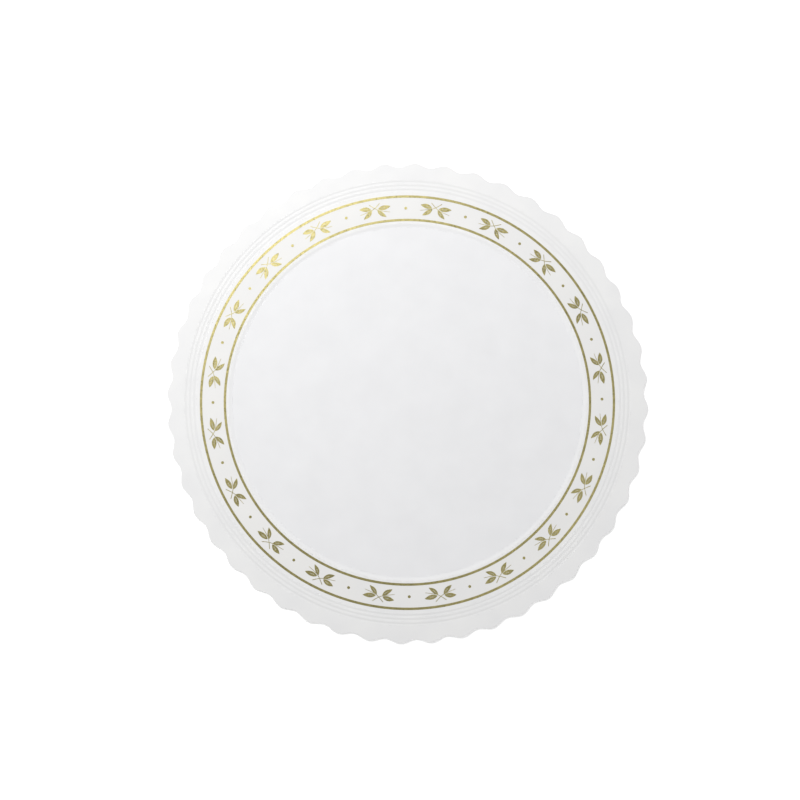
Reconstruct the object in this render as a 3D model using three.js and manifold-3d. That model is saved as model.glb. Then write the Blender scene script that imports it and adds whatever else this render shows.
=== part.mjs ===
// A round cake board, pressed from one sheet of coated paperboard and printed with gold foil.
// It lies flat with its print up. Sizes are in millimetres and +Z is up.
// The origin is at the middle of the face that the board rests on.

import * as THREE from "three";
import { mergeVertices } from "three/addons/utils/BufferGeometryUtils.js";
import Module from "manifold-3d";

const wasm = await Module();
wasm.setup();

// The sheet and its scalloped edge
const boardRadius = 150;
const boardThickness = 1.2;
const scallopCount = 48;
const scallopDepth = 2.6;
const scallopTurn = 5.7;

// The pressed grooves, counted from the edge inwards
const rimWidth = 11.9;
const grooveCount = 3;
const groovePitch = 2.6;
const grooveWidth = 2.2;
const grooveDepth = 0.07;

// The printed band, from the innermost groove inwards
const outerLineInset = 4.1;
const bandWidth = 14.9;
const lineWidth = 1.5;
const foilThickness = 0.05;

// The shallow well, from the inner line inwards
const wellMargin = 2;
const wellWallWidth = 2.6;
const wellDepth = 0.25;

// The row of sprigs and dots along the middle of the band
const motifCount = 20;
const sprigTurn = 9.5;
const dotDiameter = 1.9;

// The two stems of a sprig: x runs along the band, clockwise, and y runs outwards
const stemWidth = 0.42;
const stemEndWidth = 0.24;
const stemToRight = [[-3.4, 4.15], [-0.35, 1.5], [2.5, -0.35], [8.8, -2.2]];
const stemToLeft = [[3.2, 4.25], [-0.35, 1.5], [-3.6, 0.1], [-9.9, -1.5]];

// The leaves of a sprig: each springs from its stem, and belly is its share of width on the left
const leafStart = 0.42;
const leaves = [
  { stem: stemToLeft, tip: [-10, 2.1], width: 2.9, belly: 0.42 },
  { stem: stemToLeft, tip: [-8.1, -4.35], width: 2.6, belly: 0.67 },
  { stem: stemToRight, tip: [9.75, 1.45], width: 2.9, belly: 0.5 },
  { stem: stemToRight, tip: [6.2, -4.95], width: 2.45, belly: 0.36 },
];

// How finely round forms are divided
const boardSegments = 72;
const scallopSteps = 4;
const lineSegments = 72;
const dotSegments = 8;
const stemSteps = 4;
const leafSteps = 4;

// Places that follow from the sizes above
const outerGrooveRadius = boardRadius - rimWidth;
const innerGrooveRadius = outerGrooveRadius - (grooveCount - 1) * groovePitch;
const outerLineRadius = innerGrooveRadius - outerLineInset;
const innerLineRadius = outerLineRadius - bandWidth;
const motifRadius = (outerLineRadius + innerLineRadius) / 2;
const wellTopRadius = innerLineRadius - wellMargin;
const wellFloorRadius = wellTopRadius - wellWallWidth;
const bandTop = wellDepth + boardThickness;
const motifAngle = 360 / motifCount;

// Welds a geometry's corners and leaves out the slivers that welding closes.
function weld(geometry) {
  const bare = geometry.clone();
  bare.deleteAttribute("normal");
  bare.deleteAttribute("uv");
  const welded = mergeVertices(bare);
  const corners = welded.index.array;
  const kept = [];
  for (let i = 0; i < corners.length; i += 3) {
    const [a, b, c] = corners.slice(i, i + 3);
    if (a !== b && b !== c && c !== a) {
      kept.push(a, b, c);
    }
  }
  welded.setIndex(kept);
  return welded;
}

function toSolid(geometry) {
  const welded = weld(geometry);
  return new wasm.Manifold(new wasm.Mesh({
    numProp: 3,
    vertProperties: new Float32Array(welded.attributes.position.array),
    triVerts: new Uint32Array(welded.index.array),
  }));
}

function toGeometry(solid) {
  const mesh = solid.getMesh();
  const geometry = new THREE.BufferGeometry();
  geometry.setAttribute("position", new THREE.BufferAttribute(mesh.vertProperties, 3));
  geometry.setIndex(new THREE.BufferAttribute(mesh.triVerts, 1));
  geometry.computeVertexNormals();
  return geometry;
}

// Turns a profile of [radius, height] points about +Z.
function turned(profile, segments) {
  const points = profile.map(([radius, height]) => new THREE.Vector2(radius, height));
  return new THREE.LatheGeometry(points, segments).rotateX(Math.PI / 2);
}

// The radial line that one face of the sheet follows, raised by the height of that face.
function faceLine(height, reach) {
  const flat = height + wellDepth;
  const line = [[0, height], [wellFloorRadius, height], [wellTopRadius, flat]];
  for (let i = 0; i < grooveCount; i += 1) {
    const radius = innerGrooveRadius + i * groovePitch;
    line.push([radius - grooveWidth / 2, flat]);
    line.push([radius, flat - grooveDepth]);
    line.push([radius + grooveWidth / 2, flat]);
  }
  line.push([reach, flat]);
  return line;
}

// The scalloped outline, as radius against angle.
function edgeRadius(angle) {
  const wave = Math.cos(scallopCount * (angle - THREE.MathUtils.degToRad(scallopTurn)));
  return boardRadius - (scallopDepth / 2) * (1 - wave);
}

function edgeOutline() {
  const outline = [];
  const steps = scallopCount * scallopSteps;
  const start = THREE.MathUtils.degToRad(scallopTurn);
  for (let i = 0; i < steps; i += 1) {
    const angle = start + (2 * Math.PI * i) / steps;
    const radius = edgeRadius(angle);
    outline.push(new THREE.Vector2(radius * Math.cos(angle), radius * Math.sin(angle)));
  }
  return new THREE.Shape(outline);
}

function boardGeometry() {
  const blankRadius = boardRadius + scallopDepth;
  const under = faceLine(0, blankRadius);
  const upper = faceLine(boardThickness, blankRadius);
  const sheet = turned([...under, ...upper.reverse()], boardSegments);
  const cutter = new THREE.ExtrudeGeometry(edgeOutline(), {
    depth: bandTop + 2 * boardThickness,
    bevelEnabled: false,
  }).translate(0, 0, -boardThickness);
  return toGeometry(toSolid(sheet).intersect(toSolid(cutter)));
}

function lineGeometry(radius) {
  const inside = radius - lineWidth / 2;
  const outside = radius + lineWidth / 2;
  return turned([
    [inside, 0],
    [outside, 0],
    [outside, foilThickness],
    [inside, foilThickness],
    [inside, 0],
  ], lineSegments);
}

function foilPatch(outline) {
  return new THREE.ExtrudeGeometry(new THREE.Shape(outline), {
    depth: foilThickness,
    bevelEnabled: false,
  });
}

function curveThrough(points) {
  return new THREE.SplineCurve(points.map(([x, y]) => new THREE.Vector2(x, y)));
}

// A strip of foil along a curve, which thins from one end to the other.
function ribbon(curve, startWidth, endWidth, steps) {
  const left = [];
  const right = [];
  for (let i = 0; i <= steps; i += 1) {
    const t = i / steps;
    const half = THREE.MathUtils.lerp(startWidth, endWidth, t) / 2;
    const point = curve.getPointAt(t);
    const tangent = curve.getTangentAt(t);
    const side = new THREE.Vector2(-tangent.y, tangent.x).multiplyScalar(half);
    left.push(point.clone().add(side));
    right.unshift(point.clone().sub(side));
  }
  return foilPatch([...left, ...right]);
}

// A pointed leaf from its stem to its tip.
function leafBlade(leaf) {
  const base = curveThrough(leaf.stem).getPointAt(leafStart);
  const tip = new THREE.Vector2(...leaf.tip);
  const axis = tip.clone().sub(base);
  const side = new THREE.Vector2(-axis.y, axis.x).normalize();
  const outline = [];
  for (const [share, from, to] of [[leaf.belly, base, tip], [leaf.belly - 1, tip, base]]) {
    for (let i = 0; i < leafSteps; i += 1) {
      const t = i / leafSteps;
      const swell = leaf.width * share * Math.sin(Math.PI * t);
      outline.push(from.clone().lerp(to, t).addScaledVector(side, swell));
    }
  }
  return foilPatch(outline);
}

function sprigGeometry() {
  let solid = toSolid(ribbon(curveThrough(stemToRight), stemWidth, stemEndWidth, stemSteps));
  solid = solid.add(toSolid(ribbon(curveThrough(stemToLeft), stemWidth, stemEndWidth, stemSteps)));
  for (const leaf of leaves) {
    solid = solid.add(toSolid(leafBlade(leaf)));
  }
  return toGeometry(solid);
}

function dotGeometry() {
  const radius = dotDiameter / 2;
  const dot = new THREE.CylinderGeometry(radius, radius, foilThickness, dotSegments);
  return dot.rotateX(Math.PI / 2).translate(0, 0, foilThickness / 2);
}

function boardMaterial() {
  return new THREE.MeshStandardMaterial({ color: 0xf2f2f3, roughness: 0.4, metalness: 0 });
}

function foilMaterial() {
  return new THREE.MeshStandardMaterial({ color: 0xb8ab5c, roughness: 0.35, metalness: 1 });
}

function piece(name, geometry, material) {
  const mesh = new THREE.Mesh(geometry, material);
  mesh.name = name;
  return mesh;
}

// Lays a motif on the band, with its own outward side turned away from the board's middle.
function layOnBand(mesh, degrees) {
  const angle = THREE.MathUtils.degToRad(degrees);
  mesh.position.set(motifRadius * Math.cos(angle), motifRadius * Math.sin(angle), bandTop);
  mesh.rotation.z = angle - Math.PI / 2;
  return mesh;
}

const cakeBoard = new THREE.Group();
cakeBoard.add(piece("board", boardGeometry(), boardMaterial()));

const outerLine = piece("foil_line_outer", lineGeometry(outerLineRadius), foilMaterial());
const innerLine = piece("foil_line_inner", lineGeometry(innerLineRadius), foilMaterial());
outerLine.position.z = bandTop;
innerLine.position.z = bandTop;
cakeBoard.add(outerLine, innerLine);

for (let i = 0; i < motifCount; i += 1) {
  const number = String(i + 1).padStart(2, "0");
  const sprigAngle = sprigTurn + i * motifAngle;
  const sprig = piece(`foil_sprig_${number}`, sprigGeometry(), foilMaterial());
  const dot = piece(`foil_dot_${number}`, dotGeometry(), foilMaterial());
  cakeBoard.add(layOnBand(sprig, sprigAngle));
  cakeBoard.add(layOnBand(dot, sprigAngle + motifAngle / 2));
}

export default cakeBoard;
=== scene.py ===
"""Dresses a round cake board, a pressed white sheet with a scalloped edge and a gold foil print.

All lengths are in metres unless a name says otherwise, and +Z is up out of the printed face.
"""

import logging
import math
from collections.abc import Callable, Iterator
from contextlib import contextmanager
from dataclasses import dataclass, field
from enum import Enum

import bmesh
import bpy
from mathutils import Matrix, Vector


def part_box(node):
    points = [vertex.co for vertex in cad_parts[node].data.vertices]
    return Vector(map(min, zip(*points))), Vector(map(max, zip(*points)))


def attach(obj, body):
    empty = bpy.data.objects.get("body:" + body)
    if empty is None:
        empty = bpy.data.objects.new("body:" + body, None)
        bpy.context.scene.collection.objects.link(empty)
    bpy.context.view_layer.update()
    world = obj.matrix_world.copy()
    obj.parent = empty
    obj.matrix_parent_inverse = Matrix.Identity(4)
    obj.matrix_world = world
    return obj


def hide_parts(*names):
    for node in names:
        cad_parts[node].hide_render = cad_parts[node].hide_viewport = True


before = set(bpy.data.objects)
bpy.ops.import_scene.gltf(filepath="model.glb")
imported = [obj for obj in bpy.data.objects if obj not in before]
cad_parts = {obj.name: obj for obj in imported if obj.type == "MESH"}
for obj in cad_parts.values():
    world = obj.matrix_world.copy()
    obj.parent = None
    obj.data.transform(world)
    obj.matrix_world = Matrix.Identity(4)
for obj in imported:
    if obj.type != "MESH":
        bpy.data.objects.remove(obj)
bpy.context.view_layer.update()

LOG = logging.getLogger("cake_board")
MM = 0.001
FULL_TURN = 2 * math.pi
BODY = "root"
UP = (0.0, 0.0, 1.0)
CENTRE = (0.0, 0.0, 0.0)
WHITE = (1.0, 1.0, 1.0, 1.0)

# Vertices nearer to each other than this are one.
WELD_REACH = 1e-6

# How far the foil's upper edges are softened, and over what width the band's tone fades out.
SOFT_EDGE = 0.015 * MM
SOFT_TONE = 0.4 * MM

# A face belongs to a flat side, and not to an edge, where its normal's z is larger than this.
FLAT_SIDE = 0.3

# Edges sharper than these angles stay sharp.
FOIL_SMOOTHING = math.radians(30)
SHEET_SMOOTHING = math.radians(40)

Colour = tuple[float, float, float, float]
Place = tuple[float, float]
Span = tuple[float, float]
Stretch = tuple[float, float, float]
ColumnShape = tuple[float, Vector, float]


class Slot(Enum):
    """The record's material slots."""

    BOARD = "coated_board"
    FOIL = "gold_foil"


class Surface(Enum):
    """The differently finished surfaces of the sheet, by material index."""

    FACE = 0
    CUT_EDGE = 1
    BACK = 2


def mix(start: float, end: float, share: float) -> float:
    """Returns the value that lies a share of the way from start to end."""
    return start + (end - start) * share


def ease(share: float) -> float:
    """Returns a share from 0 to 1 with soft ends."""
    return share * share * (3 - 2 * share)


def clear_selection() -> None:
    """Deselects every object."""
    bpy.ops.object.select_all(action="DESELECT")


def make_active(piece: bpy.types.Object) -> None:
    """Selects one object alone and makes it the active one.

    Args:
        piece: The object.
    """
    clear_selection()
    piece.select_set(True)
    bpy.context.view_layer.objects.active = piece


@contextmanager
def editing(piece: bpy.types.Object) -> Iterator[None]:
    """Opens a piece in edit mode with nothing selected, and closes it again.

    Args:
        piece: The mesh object to edit.
    """
    make_active(piece)
    bpy.ops.object.mode_set(mode="EDIT")
    bpy.ops.mesh.select_mode(type="VERT")
    bpy.ops.mesh.select_all(action="DESELECT")
    yield
    bpy.ops.object.mode_set(mode="OBJECT")


def pick_corners(piece: bpy.types.Object, wanted: Callable[[Vector], bool]) -> None:
    """Selects the vertices whose place passes a test, in edit mode.

    Args:
        piece: The mesh object in edit mode.
        wanted: Tells from a vertex's place whether it is selected.
    """
    mesh = bmesh.from_edit_mesh(piece.data)
    for corner in mesh.verts:
        corner.select_set(wanted(corner.co))
    mesh.select_flush_mode()
    bmesh.update_edit_mesh(piece.data)


def pick_faces(piece: bpy.types.Object, wanted: Callable[[Vector, Vector], bool]) -> None:
    """Selects the faces whose middle and normal pass a test, in edit mode.

    Args:
        piece: The mesh object in edit mode.
        wanted: Tells from a face's middle and normal whether it is selected.
    """
    mesh = bmesh.from_edit_mesh(piece.data)
    for corner in mesh.verts:
        corner.select_set(False)
    for face in mesh.faces:
        face.select_set(wanted(face.calc_center_median(), face.normal))
    bmesh.update_edit_mesh(piece.data)


def weld(piece: bpy.types.Object) -> None:
    """Merges a piece's doubled vertices and turns its faces outwards.

    Args:
        piece: The mesh object.
    """
    with editing(piece):
        bpy.ops.mesh.select_all(action="SELECT")
        bpy.ops.mesh.remove_doubles(threshold=WELD_REACH)
        bpy.ops.mesh.normals_make_consistent(inside=False)


def set_place(piece: bpy.types.Object, place: Vector, turn: float) -> None:
    """Turns and moves a piece, and keeps its place in its mesh.

    Args:
        piece: The object, which sits at the origin before and after.
        place: Where its own origin goes.
        turn: Its turn about +Z, in radians.
    """
    make_active(piece)
    piece.location = place
    piece.rotation_euler = (0, 0, turn)
    bpy.ops.object.transform_apply(location=True, rotation=True, scale=True)


def copy_of(piece: bpy.types.Object, name: str) -> bpy.types.Object:
    """Copies a piece together with its mesh.

    Args:
        piece: The object to copy.
        name: The copy's name.

    Returns:
        The copy, with a mesh of its own.
    """
    make_active(piece)
    bpy.ops.object.duplicate(linked=False)
    copy = bpy.context.active_object
    copy.name = name
    copy.data.name = name
    return copy


def turned(name: str, profile: list[Place], steps: int) -> bpy.types.Object:
    """Spins a drawn profile about +Z into a closed round piece.

    Args:
        name: The new object's name.
        profile: Points of radius and height, from the axis to the axis or back to the start.
        steps: How many steps a full turn takes.

    Returns:
        The turned object.
    """
    clear_selection()
    (radius, height), *others = profile
    bpy.ops.mesh.primitive_plane_add(size=MM, location=CENTRE)
    piece = bpy.context.active_object
    piece.name = name
    piece.data.name = name
    with editing(piece):
        bpy.ops.mesh.select_all(action="SELECT")
        bpy.ops.mesh.merge(type="CENTER")
        bpy.ops.transform.translate(value=(radius, 0, height))
        for next_radius, next_height in others:
            step = (next_radius - radius, 0, next_height - height)
            bpy.ops.mesh.extrude_region_move(TRANSFORM_OT_translate={"value": step})
            radius, height = next_radius, next_height
        bpy.ops.mesh.select_all(action="SELECT")
        bpy.ops.mesh.spin(steps=steps, angle=FULL_TURN, center=CENTRE, axis=UP)
    weld(piece)
    return piece


def smooth(piece: bpy.types.Object, angle: float) -> None:
    """Shades a piece smooth, but for edges sharper than an angle in radians."""
    make_active(piece)
    bpy.ops.object.shade_smooth_by_angle(angle=angle)


def dress(piece: bpy.types.Object, slot: Slot, *nodes: str) -> None:
    """Says which body a piece rides on and hides the CAD nodes that it stands for.

    Args:
        piece: The finished object.
        slot: The record's material slot, not used.
        nodes: The CAD nodes that the piece replaces.
    """
    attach(piece, BODY)
    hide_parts(*nodes)


@dataclass(frozen=True)
class Patches:
    """The sizes of a soft random pattern.

    Attributes:
        size: The rough width of one patch.
        detail: How many finer layers it has.
        span: The pattern's values between which one look gives way to the next.
        stretch: How the pattern is scaled along each axis.
    """

    size: float
    detail: float
    span: Span = (0.3, 0.7)
    stretch: Stretch = (1, 1, 1)


class NodeSheet:
    """A material and the nodes that make it."""

    def __init__(self, name: str) -> None:
        """Starts a material with a principled shader.

        Args:
            name: The material's name.
        """
        self.material = bpy.data.materials.new(name)
        self.material.use_nodes = True
        self.tree = self.material.node_tree
        self.shader = self.tree.nodes["Principled BSDF"]
        self.place = self.tree.nodes.new("ShaderNodeTexCoord").outputs["Object"]

    def link(self, source: bpy.types.NodeSocket, target: bpy.types.NodeSocket) -> None:
        """Links one socket to another."""
        self.tree.links.new(source, target)

    def set(self, **values: float | Colour) -> None:
        """Sets constant values on the shader's own sockets.

        Args:
            values: Socket names with underscores for spaces, and their values.
        """
        for name, value in values.items():
            self.shader.inputs[name.replace("_", " ")].default_value = value

    def stretched(self, stretch: Stretch) -> bpy.types.NodeSocket:
        """Scales the object coordinates.

        Args:
            stretch: The factor along each axis.

        Returns:
            The scaled coordinates.
        """
        mapping = self.tree.nodes.new("ShaderNodeMapping")
        mapping.inputs["Scale"].default_value = stretch
        self.link(self.place, mapping.inputs["Vector"])
        return mapping.outputs["Vector"]

    def noise(self, patches: Patches) -> bpy.types.NodeSocket:
        """Adds soft random patches.

        Args:
            patches: The pattern's sizes.

        Returns:
            The pattern's value, around one half.
        """
        node = self.tree.nodes.new("ShaderNodeTexNoise")
        node.inputs["Scale"].default_value = 1 / patches.size
        node.inputs["Detail"].default_value = patches.detail
        self.link(self.stretched(patches.stretch), node.inputs["Vector"])
        return node.outputs["Fac"]

    def remap(
        self, value: bpy.types.NodeSocket, source: Span, target: Span
    ) -> bpy.types.NodeSocket:
        """Maps a value from one range onto another and holds it there.

        Args:
            value: The value to map.
            source: The range that it comes from.
            target: The range that it goes to.

        Returns:
            The mapped value.
        """
        node = self.tree.nodes.new("ShaderNodeMapRange")
        node.inputs["From Min"].default_value, node.inputs["From Max"].default_value = source
        node.inputs["To Min"].default_value, node.inputs["To Max"].default_value = target
        self.link(value, node.inputs["Value"])
        return node.outputs["Result"]

    def patchy(self, patches: Patches, target: Span = (0, 1)) -> bpy.types.NodeSocket:
        """Adds soft random patches that run over a range.

        Args:
            patches: The pattern's sizes.
            target: The range that the patches run over.

        Returns:
            The pattern's value.
        """
        return self.remap(self.noise(patches), patches.span, target)

    def combine(
        self,
        operation: str,
        first: bpy.types.NodeSocket,
        second: bpy.types.NodeSocket | float = 0.0,
    ) -> bpy.types.NodeSocket:
        """Works out one value from two.

        Args:
            operation: Blender's name of the operation.
            first: The first value.
            second: The second value, or a plain number.

        Returns:
            The result.
        """
        node = self.tree.nodes.new("ShaderNodeMath")
        node.operation = operation
        self.link(first, node.inputs[0])
        if isinstance(second, bpy.types.NodeSocket):
            self.link(second, node.inputs[1])
        else:
            node.inputs[1].default_value = second
        return node.outputs["Value"]

    def blend(
        self, share: bpy.types.NodeSocket, first: bpy.types.NodeSocket | Colour, second: Colour
    ) -> bpy.types.NodeSocket:
        """Mixes two colours.

        Args:
            share: How much of the second colour there is, from 0 to 1.
            first: The first colour, plain or from another node.
            second: The second colour.

        Returns:
            The mixed colour.
        """
        node = self.tree.nodes.new("ShaderNodeMix")
        node.data_type = "RGBA"
        start, end = (socket for socket in node.inputs if socket.type == "RGBA")
        if isinstance(first, bpy.types.NodeSocket):
            self.link(first, start)
        else:
            start.default_value = first
        end.default_value = second
        self.link(share, node.inputs["Factor"])
        return next(socket for socket in node.outputs if socket.type == "RGBA")

    def radius(self) -> bpy.types.NodeSocket:
        """Works out the distance from the +Z axis.

        Returns:
            The distance.
        """
        flat = self.stretched((1, 1, 0))
        node = self.tree.nodes.new("ShaderNodeVectorMath")
        node.operation = "LENGTH"
        self.link(flat, node.inputs[0])
        return node.outputs["Value"]

    def relief(self, *layers: tuple[bpy.types.NodeSocket, float]) -> None:
        """Adds bump to the shader, one layer on another.

        Args:
            layers: Each layer's height pattern and its depth.
        """
        below = None
        for height, depth in layers:
            node = self.tree.nodes.new("ShaderNodeBump")
            node.inputs["Distance"].default_value = depth
            self.link(height, node.inputs["Height"])
            if below is not None:
                self.link(below, node.inputs["Normal"])
            below = node.outputs["Normal"]
        self.link(below, self.shader.inputs["Normal"])


@dataclass(frozen=True)
class CoatedFinish:
    """The white, semi-gloss, coated upper face.

    Attributes:
        rim_tone: The white outside the well.
        well_tone: The slightly cooler white of the well.
        band_tone: The slightly duller white of the printed band.
        groove_shade_tone: The painted shade at the bottom of a pressed groove, a duller white.
        cloud_tone: The duller white of faint clouds in the coating.
        cloud_share: How much of its tone a cloud has.
        clouds: The clouds' pattern.
        gloss: The range of roughness.
        sheen: The pattern in which the roughness varies.
        ripples: The pattern of the sheet's long, faint waves.
        ripple_depth: Their depth.
        grain: The pattern of the fibre grain.
        grain_depth: Its depth.
        coat_index: The coating's index of refraction.
    """

    rim_tone: Colour = (0.850, 0.846, 0.840, 1)
    well_tone: Colour = (0.838, 0.836, 0.845, 1)
    band_tone: Colour = (0.826, 0.817, 0.800, 1)
    groove_shade_tone: Colour = (0.786, 0.783, 0.777, 1)
    cloud_tone: Colour = (0.776, 0.774, 0.783, 1)
    cloud_share: float = 0.45
    clouds: Patches = Patches(size=0.022, detail=5, span=(0.35, 0.7))
    gloss: Span = (0.40, 0.50)
    sheen: Patches = Patches(size=0.02, detail=3)
    ripples: Patches = Patches(size=0.03, detail=2)
    ripple_depth: float = 0.0003
    grain: Patches = Patches(size=0.0011, detail=3)
    grain_depth: float = 0.000003
    coat_index: float = 1.46

    def near_ring(
        self, sheet: NodeSheet, radii: list[float], reach: Span
    ) -> bpy.types.NodeSocket:
        """Finds what lies near a circle about +Z.

        Args:
            sheet: The material's nodes.
            radii: The circles' radii.
            reach: The distances from a circle at which the result begins and ends to fade.

        Returns:
            One near a circle and zero far from all.
        """
        radius = sheet.radius()
        away = [
            sheet.combine("ABSOLUTE", sheet.combine("SUBTRACT", radius, middle))
            for middle in radii
        ]
        nearest = away.pop()
        for other in away:
            nearest = sheet.combine("MINIMUM", nearest, other)
        return sheet.remap(nearest, reach, (1, 0))

    def material(
        self, wall: Span, band: Span, grooves: list[float], groove_width: float
    ) -> bpy.types.Material:
        """Makes the material.

        Args:
            wall: The radii between which the well's tone fades out.
            band: The radii between which the printed band lies.
            grooves: The grooves' radii.
            groove_width: The grooves' width.

        Returns:
            The material.
        """
        sheet = NodeSheet("coated_face")
        middle, half = sum(band) / 2, (band[1] - band[0]) / 2
        outside = sheet.remap(sheet.radius(), wall, (0, 1))
        printed = self.near_ring(sheet, [middle], (half - SOFT_TONE, half))
        # Painted shade: the white is darkened along the groove bottoms, standing in for the shade
        # that gathers in the pressed grooves.
        painted_groove_shade = self.near_ring(sheet, grooves, (0, groove_width / 2))
        clouded = sheet.patchy(self.clouds, (0, self.cloud_share))
        colour = sheet.blend(outside, self.well_tone, self.rim_tone)
        for share, tone in (
            (printed, self.band_tone),
            (painted_groove_shade, self.groove_shade_tone),
            (clouded, self.cloud_tone),
        ):
            colour = sheet.blend(share, colour, tone)
        sheet.link(colour, sheet.shader.inputs["Base Color"])
        sheet.link(sheet.patchy(self.sheen, self.gloss), sheet.shader.inputs["Roughness"])
        sheet.relief(
            (sheet.noise(self.ripples), self.ripple_depth),
            (sheet.noise(self.grain), self.grain_depth),
        )
        sheet.set(IOR=self.coat_index)
        return sheet.material


@dataclass(frozen=True)
class BackFinish:
    """The plain, uncoated, matt underside with its grey fibres.

    Attributes:
        light_tone: The grey of the sheet.
        dark_tone: The grey of its darker fibres.
        fibres: The fibres' pattern.
        fibre_depth: Their depth.
        roughness: How matt it is.
    """

    light_tone: Colour = (0.72, 0.70, 0.66, 1)
    dark_tone: Colour = (0.56, 0.54, 0.50, 1)
    fibres: Patches = Patches(size=0.0016, detail=5, span=(0.35, 0.75), stretch=(1, 0.3, 1))
    fibre_depth: float = 0.00005
    roughness: float = 0.85

    def material(self) -> bpy.types.Material:
        """Makes the material.

        Returns:
            The material.
        """
        sheet = NodeSheet("uncoated_back")
        fibres = sheet.noise(self.fibres)
        share = sheet.remap(fibres, self.fibres.span, (0, 1))
        colour = sheet.blend(share, self.light_tone, self.dark_tone)
        sheet.link(colour, sheet.shader.inputs["Base Color"])
        sheet.relief((fibres, self.fibre_depth))
        sheet.set(Roughness=self.roughness)
        return sheet.material


@dataclass(frozen=True)
class CutEdgeFinish:
    """The raw cut edge, where the layers of board show as thin bands.

    Attributes:
        light_tone: The colour of the lighter layers.
        dark_tone: The colour of the darker layers.
        layers: The layers' pattern, drawn out round the edge.
        layer_depth: How far the layers stand out.
        roughness: How matt it is.
    """

    light_tone: Colour = (0.80, 0.79, 0.76, 1)
    dark_tone: Colour = (0.62, 0.60, 0.56, 1)
    layers: Patches = Patches(
        size=0.00022, detail=3, span=(0.35, 0.65), stretch=(0.055, 0.055, 1)
    )
    layer_depth: float = 0.000055
    roughness: float = 0.8

    def material(self) -> bpy.types.Material:
        """Makes the material.

        Returns:
            The material.
        """
        sheet = NodeSheet("cut_edge")
        layers = sheet.noise(self.layers)
        share = sheet.remap(layers, self.layers.span, (0, 1))
        colour = sheet.blend(share, self.light_tone, self.dark_tone)
        sheet.link(colour, sheet.shader.inputs["Base Color"])
        sheet.relief((layers, self.layer_depth))
        sheet.set(Roughness=self.roughness)
        return sheet.material


@dataclass(frozen=True)
class FoilFinish:
    """Hot-stamped gold foil, bright but broken up by the grain of the sheet under it.

    Attributes:
        bright_tone: The colour of the brighter gold.
        deep_tone: The colour of the deeper gold.
        tones: The pattern in which the two vary.
        gloss: The range of roughness.
        grain: The pattern of the sheet's grain.
        grain_depth: Its depth.
    """

    bright_tone: Colour = (0.67, 0.585, 0.262, 1)
    deep_tone: Colour = (0.56, 0.495, 0.215, 1)
    tones: Patches = Patches(size=0.0024, detail=4, span=(0.35, 0.65))
    gloss: Span = (0.25, 0.40)
    grain: Patches = Patches(size=0.0009, detail=3)
    grain_depth: float = 0.00002

    def material(self) -> bpy.types.Material:
        """Makes the material.

        Returns:
            The material.
        """
        sheet = NodeSheet("gold_foil")
        colour = sheet.blend(sheet.patchy(self.tones), self.bright_tone, self.deep_tone)
        grain = sheet.noise(self.grain)
        gloss = sheet.remap(grain, self.grain.span, self.gloss)
        sheet.link(colour, sheet.shader.inputs["Base Color"])
        sheet.link(gloss, sheet.shader.inputs["Roughness"])
        sheet.relief((grain, self.grain_depth))
        sheet.set(Metallic=1.0)
        return sheet.material


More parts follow.
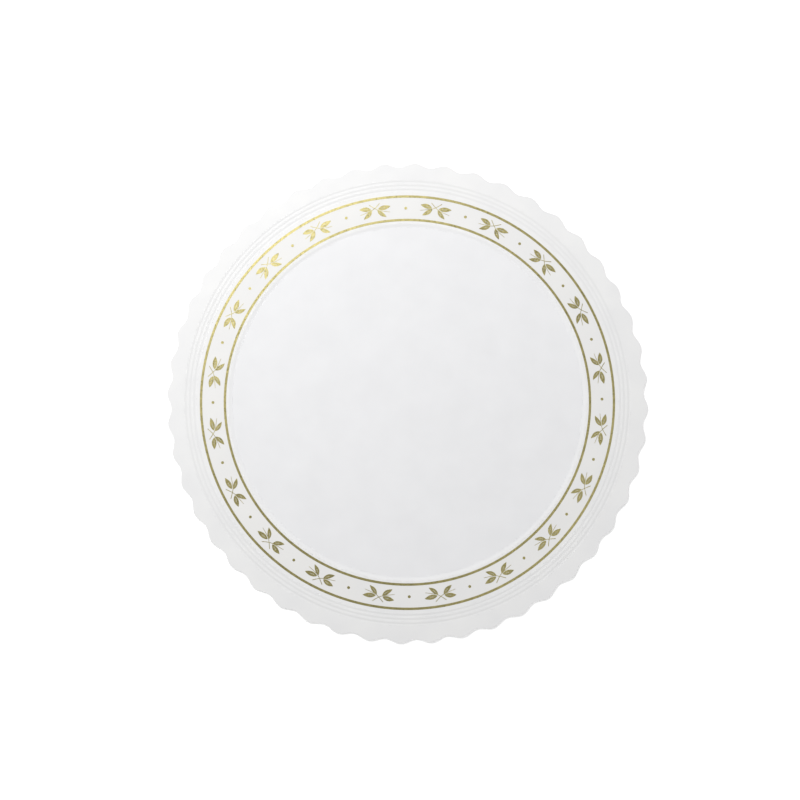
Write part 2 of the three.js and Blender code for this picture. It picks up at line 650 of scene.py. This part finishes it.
@dataclass
class Board:
    """The pressed sheet, with its scalloped edge, grooves, band and shallow well.

    Attributes:
        inner_line: The radius of the inner gold line.
        outer_line: The radius of the outer gold line.
        radius: From the middle to the scallop tips.
        thickness: The sheet's thickness.
        scallops: How many scallops the edge has.
        scallop_depth: From tip to hollow.
        scallop_turn: The angle of the first tip, in degrees.
        scallop_steps: How many steps draw one scallop.
        rim_width: From the scallop tips to the outermost groove.
        grooves: How many grooves there are.
        groove_pitch: From one groove to the next.
        groove_width: Their width.
        groove_depth: Their depth.
        groove_steps: How many steps draw one groove.
        well_depth: The height of the well's wall.
        well_margin: From the middle of the inner line to the well's wall.
        wall_width: The width of the well's wall.
        wall_steps: How many steps draw it.
        guard: How near a bend the rings lie that keep the flats beside it flat.
        edge_roll: How far the cutting die has rolled the upper edge down.
        edge_burr: How far it has broken the lower edge.
        edge_steps: How many steps draw the rolled edge.
        floor_rings: Radii of the rings that divide the well's flat floor.
        face_finish: The finish of the upper face.
        edge_finish: The finish of the cut edge.
        back_finish: The finish of the underside.
    """

    inner_line: float
    outer_line: float
    radius: float = 150 * MM
    thickness: float = 1.2 * MM
    scallops: int = 48
    scallop_depth: float = 2.6 * MM
    scallop_turn: float = 5.7
    scallop_steps: int = 12
    rim_width: float = 11.9 * MM
    grooves: int = 3
    groove_pitch: float = 2.6 * MM
    groove_width: float = 2.2 * MM
    groove_depth: float = 0.07 * MM
    groove_steps: int = 8
    well_depth: float = 0.25 * MM
    well_margin: float = 2.0 * MM
    wall_width: float = 2.6 * MM
    wall_steps: int = 8
    guard: float = 0.15 * MM
    edge_roll: float = 0.05 * MM
    edge_burr: float = 0.08 * MM
    edge_steps: int = 4
    floor_rings: tuple[float, ...] = (0, 10 * MM, 30 * MM, 60 * MM, 90 * MM)
    face_finish: CoatedFinish = field(default_factory=CoatedFinish)
    edge_finish: CutEdgeFinish = field(default_factory=CutEdgeFinish)
    back_finish: BackFinish = field(default_factory=BackFinish)

    @property
    def groove_radii(self) -> list[float]:
        """The radii of the grooves, from the innermost out."""
        outer = self.radius - self.rim_width
        return [outer - self.groove_pitch * i for i in reversed(range(self.grooves))]

    @property
    def wall(self) -> Span:
        """The radii of the foot and the top of the well's wall."""
        top = self.inner_line - self.well_margin
        return top - self.wall_width, top

    def relief(self, radius: float) -> float:
        """Works out how high the pressed form stands above the well.

        Args:
            radius: The distance from the middle.

        Returns:
            The height there.
        """
        foot, top = self.wall
        if radius <= foot:
            return 0.0
        if radius < top:
            return self.well_depth * ease((radius - foot) / self.wall_width)
        across = min(abs(radius - middle) for middle in self.groove_radii)
        if across >= self.groove_width / 2:
            return self.well_depth
        wave = math.cos(FULL_TURN * across / self.groove_width)
        return self.well_depth - self.groove_depth * (1 + wave) / 2

    def rings(self) -> list[float]:
        """Works out where the faces of the sheet are divided.

        Returns:
            The radii, from the middle out.
        """
        half = self.groove_width / 2
        bends = [(*self.wall, self.wall_steps)]
        bends += [(middle - half, middle + half, self.groove_steps) for middle in self.groove_radii]
        radii = list(self.floor_rings)
        for start, end, steps in bends:
            radii.append(start - self.guard)
            radii += [mix(start, end, i / steps) for i in range(steps + 1)]
            radii.append(end + self.guard)
        return radii

    def edge_arc(self, reach: float) -> list[Place]:
        """Draws the rounding of an edge.

        Args:
            reach: The size of the rounding.

        Returns:
            Its depths inwards and below the face, from the face to the cut edge.
        """
        angles = [math.pi / 2 * i / self.edge_steps for i in range(self.edge_steps + 1)]
        return [(reach * (1 - math.sin(a)), reach * (1 - math.cos(a))) for a in angles]

    def profile(self) -> list[Place]:
        """Draws the section of the sheet.

        Returns:
            Points of radius and height, from the axis below to the axis above.
        """
        radii = self.rings()
        low = self.well_depth
        high = self.well_depth + self.thickness
        burr, roll = self.edge_arc(self.edge_burr), self.edge_arc(self.edge_roll)
        under = [(r, self.relief(r)) for r in radii]
        under += [(self.radius - inset, low + drop) for inset, drop in burr]
        upper = [(r, self.relief(r) + self.thickness) for r in radii]
        upper.append((self.radius - self.guard, high))
        upper += [(self.radius - inset, high - drop) for inset, drop in roll]
        return under + upper[::-1]

    def scallop(self, piece: bpy.types.Object) -> None:
        """Draws the edge in at every hollow, one step of the scallops at a time.

        Args:
            piece: The round sheet.
        """
        start = self.radius - 2 * self.guard
        step = FULL_TURN / (self.scallops * self.scallop_steps)

        def phase(corner: Vector) -> int:
            """Returns how many steps a corner lies past the last tip."""
            return round(math.atan2(corner.y, corner.x) / step) % self.scallop_steps

        with editing(piece):
            for number in range(1, self.scallop_steps):
                wave = math.cos(FULL_TURN * number / self.scallop_steps)
                share = 1 - self.scallop_depth * (1 - wave) / 2 / self.radius
                pick_corners(piece, lambda co: co.xy.length > start and phase(co) == number)
                bpy.ops.transform.resize(value=(share, share, 1), center_override=CENTRE)

    def paint(self, piece: bpy.types.Object) -> None:
        """Gives the face, the cut edge and the back their finishes.

        Args:
            piece: The finished sheet.
        """
        band = (self.inner_line, self.outer_line)
        face = self.face_finish.material(self.wall, band, self.groove_radii, self.groove_width)
        for material in (face, self.edge_finish.material(), self.back_finish.material()):
            piece.data.materials.append(material)
        tests = {
            Surface.FACE: lambda middle, normal: normal.z > FLAT_SIDE,
            Surface.CUT_EDGE: lambda middle, normal: abs(normal.z) <= FLAT_SIDE,
            Surface.BACK: lambda middle, normal: normal.z < -FLAT_SIDE,
        }
        with editing(piece):
            bpy.ops.mesh.select_mode(type="FACE")
            for surface, test in tests.items():
                pick_faces(piece, test)
                piece.active_material_index = surface.value
                bpy.ops.object.material_slot_assign()

    def build(self) -> bpy.types.Object:
        """Builds and dresses the sheet.

        Returns:
            The finished object.
        """
        steps = self.scallops * self.scallop_steps
        piece = turned("pressed_board", self.profile(), steps)
        self.scallop(piece)
        set_place(piece, Vector(CENTRE), math.radians(self.scallop_turn))
        smooth(piece, SHEET_SMOOTHING)
        self.paint(piece)
        dress(piece, Slot.BOARD, "board")
        return piece


def ring_radii(node: str) -> Span:
    """Returns the outer and inner radius of a ring-shaped CAD node."""
    lengths = [corner.co.xy.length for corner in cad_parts[node].data.vertices]
    return max(lengths), min(lengths)


def middle_radius(node: str) -> float:
    """Returns the radius of the middle of a ring-shaped CAD node."""
    return sum(ring_radii(node)) / 2


@dataclass
class FoilLine:
    """One printed gold line, a thin flat ring with softened edges.

    Attributes:
        name: The piece's name.
        node: The CAD node that it replaces.
        steps: How many steps a full turn takes.
    """

    name: str
    node: str
    steps: int = 576

    def build(self, foil: bpy.types.Material) -> bpy.types.Object:
        """Builds and dresses the line where its node lies.

        Args:
            foil: The foil's material.

        Returns:
            The finished object.
        """
        outside, inside = ring_radii(self.node)
        low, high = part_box(self.node)
        profile = [
            (inside, low.z),
            (outside, low.z),
            (outside, high.z - SOFT_EDGE),
            (outside - SOFT_EDGE, high.z),
            (inside + SOFT_EDGE, high.z),
            (inside, high.z - SOFT_EDGE),
            (inside, low.z),
        ]
        piece = turned(self.name, profile, self.steps)
        smooth(piece, FOIL_SMOOTHING)
        piece.data.materials.append(foil)
        dress(piece, Slot.FOIL, self.node)
        return piece


@dataclass(frozen=True)
class Leaf:
    """One leaf of a sprig.

    Attributes:
        base: Where the blade starts, along and out from the motif's middle.
        tip: Where it ends.
        width: Its greatest width.
        belly: The share of the width on the left of the line from base to tip.
    """

    base: Place
    tip: Place
    width: float
    belly: float


@dataclass(frozen=True)
class Stem:
    """One stem of a sprig.

    Attributes:
        points: The points that it passes, from its short end past the crossing to its tip.
        start_width: Its width at the short end.
        end_width: Its width at the tip.
    """

    points: tuple[Place, ...]
    start_width: float = 0.42 * MM
    end_width: float = 0.24 * MM


@dataclass
class Sprig:
    """The printed motif: two crossed stems, each with two leaves.

    Attributes:
        thickness: The foil's thickness.
        leaves: The four leaves.
        stems: The two stems.
        columns: How many steps run along a leaf or a stem.
        leaf_rows: How many rows a leaf has across, an odd number with the vein in the middle one.
        fullness: How near its tip a leaf is widest, with 1 for its middle.
        point: How pointed its ends are, with 1 for those of a sine wave.
        vein_share: The width of the open vein, as a share of the leaf's.
        vein_span: Where along the leaf the vein is open.
    """

    thickness: float
    leaves: tuple[Leaf, ...] = (
        Leaf(
            base=(-2.7 * MM, 0.95 * MM), tip=(-10.0 * MM, 2.1 * MM), width=2.9 * MM, belly=0.42
        ),
        Leaf(
            base=(-2.4 * MM, 0.5 * MM), tip=(-8.1 * MM, -4.35 * MM), width=2.6 * MM, belly=0.65
        ),
        Leaf(
            base=(1.7 * MM, 0.75 * MM), tip=(9.75 * MM, 1.45 * MM), width=2.9 * MM, belly=0.5
        ),
        Leaf(
            base=(1.2 * MM, 0.15 * MM), tip=(6.2 * MM, -4.95 * MM), width=2.45 * MM, belly=0.36
        ),
    )
    stems: tuple[Stem, ...] = (
        Stem((
            (-3.4 * MM, 4.15 * MM),
            (-0.35 * MM, 1.5 * MM),
            (2.5 * MM, -0.35 * MM),
            (8.8 * MM, -2.2 * MM),
        )),
        Stem((
            (3.2 * MM, 4.25 * MM),
            (-0.35 * MM, 1.5 * MM),
            (-3.6 * MM, 0.1 * MM),
            (-9.9 * MM, -1.5 * MM),
        )),
    )
    columns: int = 20
    leaf_rows: int = 5
    fullness: float = 0.88
    point: float = 0.85
    vein_share: float = 0.055
    vein_span: Span = (0.2, 0.58)

    def strip(self, name: str, rows: int) -> bpy.types.Object:
        """Adds a flat strip, one metre long and wide, that starts at the origin and runs along +X.

        Args:
            name: The new object's name.
            rows: How many faces it is wide.

        Returns:
            The strip.
        """
        clear_selection()
        bpy.ops.mesh.primitive_grid_add(x_subdivisions=self.columns, y_subdivisions=rows, size=1)
        piece = bpy.context.active_object
        piece.name = name
        set_place(piece, Vector((0.5, 0, 0)), 0)
        return piece

    def shape_columns(
        self, piece: bpy.types.Object, shape: Callable[[float], ColumnShape]
    ) -> None:
        """Gives each column of a strip its width, its place and its turn.

        Args:
            piece: The strip.
            shape: Returns the width, place and turn at a share along the strip.
        """
        columns: dict[int, set[int]] = {}
        with editing(piece):
            for corner in bmesh.from_edit_mesh(piece.data).verts:
                columns.setdefault(round(corner.co.x * self.columns), set()).add(corner.index)
            for column, numbers in sorted(columns.items()):
                width, place, turn = shape(column / self.columns)
                for corner in bmesh.from_edit_mesh(piece.data).verts:
                    corner.select_set(corner.index in numbers)
                bmesh.update_edit_mesh(piece.data)
                centre = (column / self.columns, 0, 0)
                bpy.ops.transform.resize(value=(1, width, 1), center_override=centre)
                # With no window, this operator turns the other way, hence the minus.
                bpy.ops.transform.rotate(value=-turn, orient_axis="Z", center_override=centre)
                bpy.ops.transform.translate(value=place - Vector(centre))

    def open_vein(self, piece: bpy.types.Object) -> None:
        """Cuts the vein out of a leaf's strip and pinches its two ends.

        Args:
            piece: The strip, before it has its shape.
        """
        start, end = (round(share * self.columns) / self.columns for share in self.vein_span)
        row = 1 / self.leaf_rows
        near = 1 / (4 * self.columns)  # a quarter of a column, so that only one is near
        with editing(piece):
            pick_corners(piece, lambda co: abs(co.y) < row)
            bpy.ops.transform.resize(value=(1, self.vein_share / row, 1), center_override=CENTRE)
            bpy.ops.mesh.select_mode(type="FACE")
            pick_faces(piece, lambda at, normal: abs(at.y) < near and start < at.x < end)
            bpy.ops.mesh.delete(type="FACE")
            bpy.ops.mesh.select_mode(type="VERT")
            for stop in (start, end):
                pick_corners(piece, lambda co: abs(co.x - stop) < near and abs(co.y) < row)
                bpy.ops.mesh.merge(type="CENTER")

    def blade(self, leaf: Leaf) -> bpy.types.Object:
        """Builds one leaf.

        Args:
            leaf: The leaf's sizes.

        Returns:
            The flat leaf in the motif's frame.
        """
        base = Vector((*leaf.base, 0))
        along = Vector((*leaf.tip, 0)) - base
        side = Vector((-along.y, along.x, 0)).normalized()
        turn = math.atan2(along.y, along.x)

        def shape(share: float) -> ColumnShape:
            """Returns the leaf's width, place and turn at a share along it."""
            swell = max(math.sin(math.pi * share**self.fullness), 0)
            width = leaf.width * swell**self.point
            return width, base + along * share + side * width * (leaf.belly - 0.5), turn

        piece = self.strip("leaf", self.leaf_rows)
        self.open_vein(piece)
        self.shape_columns(piece, shape)
        return piece

    def stalk(self, stem: Stem) -> bpy.types.Object:
        """Builds one stem.

        Args:
            stem: The stem's points and widths.

        Returns:
            The flat stem in the motif's frame.
        """
        points = [Vector((*point, 0)) for point in stem.points]
        lengths = [(b - a).length for a, b in zip(points, points[1:])]
        shares = [sum(lengths[:i]) / sum(lengths) for i in range(len(points))]

        def at(share: float) -> Vector:
            """Returns the point at a share along a smooth curve through the stem's points."""
            part = max(i for i in range(len(lengths)) if share >= shares[i])
            local = (share - shares[part]) / (shares[part + 1] - shares[part])
            before = points[max(part - 1, 0)]
            after = points[min(part + 2, len(points) - 1)]
            here, there = points[part], points[part + 1]
            return 0.5 * (
                2 * here
                + (there - before) * local
                + (2 * before - 5 * here + 4 * there - after) * local**2
                + (3 * here - before - 3 * there + after) * local**3
            )

        def shape(share: float) -> ColumnShape:
            """Returns the stem's width, place and turn at a share along it."""
            reach = 1 / (2 * self.columns)  # half a column to either side
            ahead = at(min(share + reach, 1)) - at(max(share - reach, 0))
            width = mix(stem.start_width, stem.end_width, share)
            return width, at(share), math.atan2(ahead.y, ahead.x)

        piece = self.strip("stem", 1)
        self.shape_columns(piece, shape)
        return piece

    def thicken(self, piece: bpy.types.Object) -> None:
        """Gives a flat piece the foil's thickness, upwards from its own plane.

        Args:
            piece: The flat leaf or stem.
        """
        weld(piece)
        rise = {"value": (0, 0, self.thickness)}
        with editing(piece):
            bpy.ops.mesh.select_all(action="SELECT")
            bpy.ops.mesh.extrude_region_move(TRANSFORM_OT_translate=rise)
        weld(piece)

    def build(self) -> bpy.types.Object:
        """Builds the motif about its own middle.

        Returns:
            One closed piece of foil.
        """
        parts = [self.stalk(stem) for stem in self.stems]
        parts += [self.blade(leaf) for leaf in self.leaves]
        for part in parts:
            self.thicken(part)
        whole, *others = parts
        for other in others:
            make_active(whole)
            fuse = whole.modifiers.new("fuse", "BOOLEAN")
            fuse.operation = "UNION"
            fuse.solver = "EXACT"
            fuse.object = other
            bpy.ops.object.modifier_apply(modifier=fuse.name)
            bpy.data.objects.remove(other)
        weld(whole)
        return whole


@dataclass
class Border:
    """The printed band: two gold lines with sprigs and dots between them.

    Attributes:
        count: How many sprigs there are, and how many dots.
        sprig_turn: The angle of the first sprig, in degrees.
        dot_steps: How many sides draw a dot.
        finish: The foil's finish.
    """

    count: int = 20
    sprig_turn: float = 9.5
    dot_steps: int = 28
    finish: FoilFinish = field(default_factory=FoilFinish)

    def place_round(
        self, master: bpy.types.Object, kind: str, first: float, radius: float, height: float
    ) -> list[bpy.types.Object]:
        """Sets copies of a motif round the band.

        Args:
            master: The motif about its own middle, with +Y outwards.
            kind: The motif's word in its names.
            first: The angle of the first copy, in degrees.
            radius: The radius of the row.
            height: The height of the band.

        Returns:
            The copies, counter-clockwise from the first.
        """
        copies = []
        for number in range(self.count):
            angle = math.radians(first + 360 * number / self.count)
            piece = copy_of(master, f"printed_{kind}_{number + 1:02d}")
            place = Vector((radius * math.cos(angle), radius * math.sin(angle), height))
            set_place(piece, place, angle - math.pi / 2)
            dress(piece, Slot.FOIL, f"foil_{kind}_{number + 1:02d}")
            copies.append(piece)
        bpy.data.objects.remove(master)
        return copies

    def dot(self, thickness: float) -> bpy.types.Object:
        """Builds one dot about its own middle.

        Args:
            thickness: The foil's thickness.

        Returns:
            The dot, with a softened upper edge.
        """
        low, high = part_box("foil_dot_01")
        radius = (high.x - low.x) / 2
        centre = Vector((0, 0, thickness / 2))
        clear_selection()
        bpy.ops.mesh.primitive_cylinder_add(
            vertices=self.dot_steps, radius=radius, depth=thickness, location=centre
        )
        piece = bpy.context.active_object
        set_place(piece, centre, 0)
        with editing(piece):
            bpy.ops.mesh.select_mode(type="FACE")
            pick_faces(piece, lambda middle, normal: normal.z > FLAT_SIDE)
            bpy.ops.mesh.bevel(offset=SOFT_EDGE, segments=1)
        return piece

    def build(self) -> list[bpy.types.Object]:
        """Builds and dresses the lines, the sprigs and the dots.

        Returns:
            The finished objects.
        """
        foil = self.finish.material()
        pieces = [
            FoilLine(f"printed_line_{side}", f"foil_line_{side}").build(foil)
            for side in ("outer", "inner")
        ]
        low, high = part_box("foil_line_outer")
        thickness = high.z - low.z
        radius = (middle_radius("foil_line_outer") + middle_radius("foil_line_inner")) / 2
        sprig = Sprig(thickness).build()
        dot = self.dot(thickness)
        for master in (sprig, dot):
            master.data.materials.append(foil)
            smooth(master, FOIL_SMOOTHING)
        pieces += self.place_round(sprig, "sprig", self.sprig_turn, radius, low.z)
        pieces += self.place_round(dot, "dot", self.sprig_turn + 180 / self.count, radius, low.z)
        return pieces


@dataclass(frozen=True)
class Lamp:
    """One soft square lamp that faces the board.

    Attributes:
        name: The lamp's name.
        place: Where it hangs.
        size: The length of its side.
        power: Its power in watts.
    """

    name: str
    place: tuple[float, float, float]
    size: float
    power: float

    def build(self) -> None:
        """Hangs the lamp."""
        clear_selection()
        bpy.ops.object.light_add(type="AREA", location=self.place)
        lamp = bpy.context.active_object
        lamp.name = self.name
        lamp.data.size = self.size
        lamp.data.energy = self.power
        lamp.visible_camera = False
        lamp.rotation_euler = (-Vector(self.place)).to_track_quat("-Z", "Y").to_euler()


@dataclass
class Studio:
    """The plain pale floor, the soft lamps and the camera above the board.

    Attributes:
        frame_width: The width that the square picture shows at the print.
        camera_distance: From the camera to the print.
        camera_lean: How far the camera leans from the vertical towards -Y, in degrees.
        aim: The point of the board under the picture's middle.
        print_height: The height of the printed band over the floor.
        floor_size: The floor's size.
        floor_tone: The floor's colour.
        floor_roughness: How matt the floor is.
        floor_lift: The light on the floor that the camera, mirrors and glass see.
        sky_tone: The colour of the light from all round.
        sky_level: Its strength.
        lamps: The soft lamps.
    """

    frame_width: float = 499.1 * MM
    camera_distance: float = 0.75
    camera_lean: float = 3.0
    aim: Place = (-4.66 * MM, 0.50 * MM)
    print_height: float = 1.5 * MM
    floor_size: float = 12.0
    floor_tone: Colour = (0.90, 0.90, 0.90, 1)
    floor_roughness: float = 0.9
    floor_lift: float = 0.42
    sky_tone: Colour = (0.98, 0.99, 1.0, 1)
    sky_level: float = 0.275
    lamps: tuple[Lamp, ...] = (
        Lamp("key_lamp", place=(-0.51, 0.755, 1.0), size=0.8, power=17.7),
        Lamp("fill_lamp", place=(0.76, -0.40, 1.25), size=0.8, power=2.7),
    )

    def floor(self) -> None:
        """Lays the floor that the board rests on."""
        clear_selection()
        bpy.ops.mesh.primitive_plane_add(size=self.floor_size, location=CENTRE)
        piece = bpy.context.active_object
        piece.name = "floor"
        sheet = NodeSheet("floor")
        sheet.set(
            Base_Color=self.floor_tone,
            Roughness=self.floor_roughness,
            Specular_IOR_Level=0.0,
            Emission_Color=WHITE,
        )
        rays = sheet.tree.nodes.new("ShaderNodeLightPath").outputs
        mirrored = sheet.combine("MAXIMUM", rays["Is Glossy Ray"], rays["Is Transmission Ray"])
        seen = sheet.combine("MAXIMUM", rays["Is Camera Ray"], mirrored)
        lift = sheet.combine("MULTIPLY", seen, self.floor_lift)
        sheet.link(lift, sheet.shader.inputs["Emission Strength"])
        piece.data.materials.append(sheet.material)

    def sky(self) -> None:
        """Sets the even light from all round."""
        world = bpy.data.worlds.new("sky")
        world.use_nodes = True
        background = world.node_tree.nodes["Background"]
        background.inputs["Color"].default_value = self.sky_tone
        background.inputs["Strength"].default_value = self.sky_level
        bpy.context.scene.world = world

    def camera(self) -> None:
        """Hangs the camera over the board, with +Y at the top of the picture."""
        clear_selection()
        lean = math.radians(self.camera_lean)
        away = Vector((0, -math.sin(lean), math.cos(lean))) * self.camera_distance
        place = Vector((*self.aim, self.print_height)) + away
        bpy.ops.object.camera_add(location=place, rotation=(lean, 0, 0))
        camera = bpy.context.active_object
        camera.name = "camera"
        camera.data.sensor_fit = "HORIZONTAL"
        camera.data.lens = camera.data.sensor_width * self.camera_distance / self.frame_width
        bpy.context.scene.camera = camera

    def build(self) -> None:
        """Builds the studio."""
        self.floor()
        self.sky()
        for lamp in self.lamps:
            lamp.build()
        self.camera()
        bpy.context.scene.view_settings.view_transform = "Standard"


def main() -> None:
    """Builds the board, its print and the studio."""
    logging.basicConfig(level=logging.INFO, format="%(name)s: %(message)s")
    inner, outer = middle_radius("foil_line_inner"), middle_radius("foil_line_outer")
    pieces = [Board(inner_line=inner, outer_line=outer).build(), *Border().build()]
    for piece in pieces:
        LOG.info("%s, %d faces", piece.name, len(piece.data.polygons))
    Studio().build()
    LOG.info("studio")


if __name__ == "__main__":
    main()
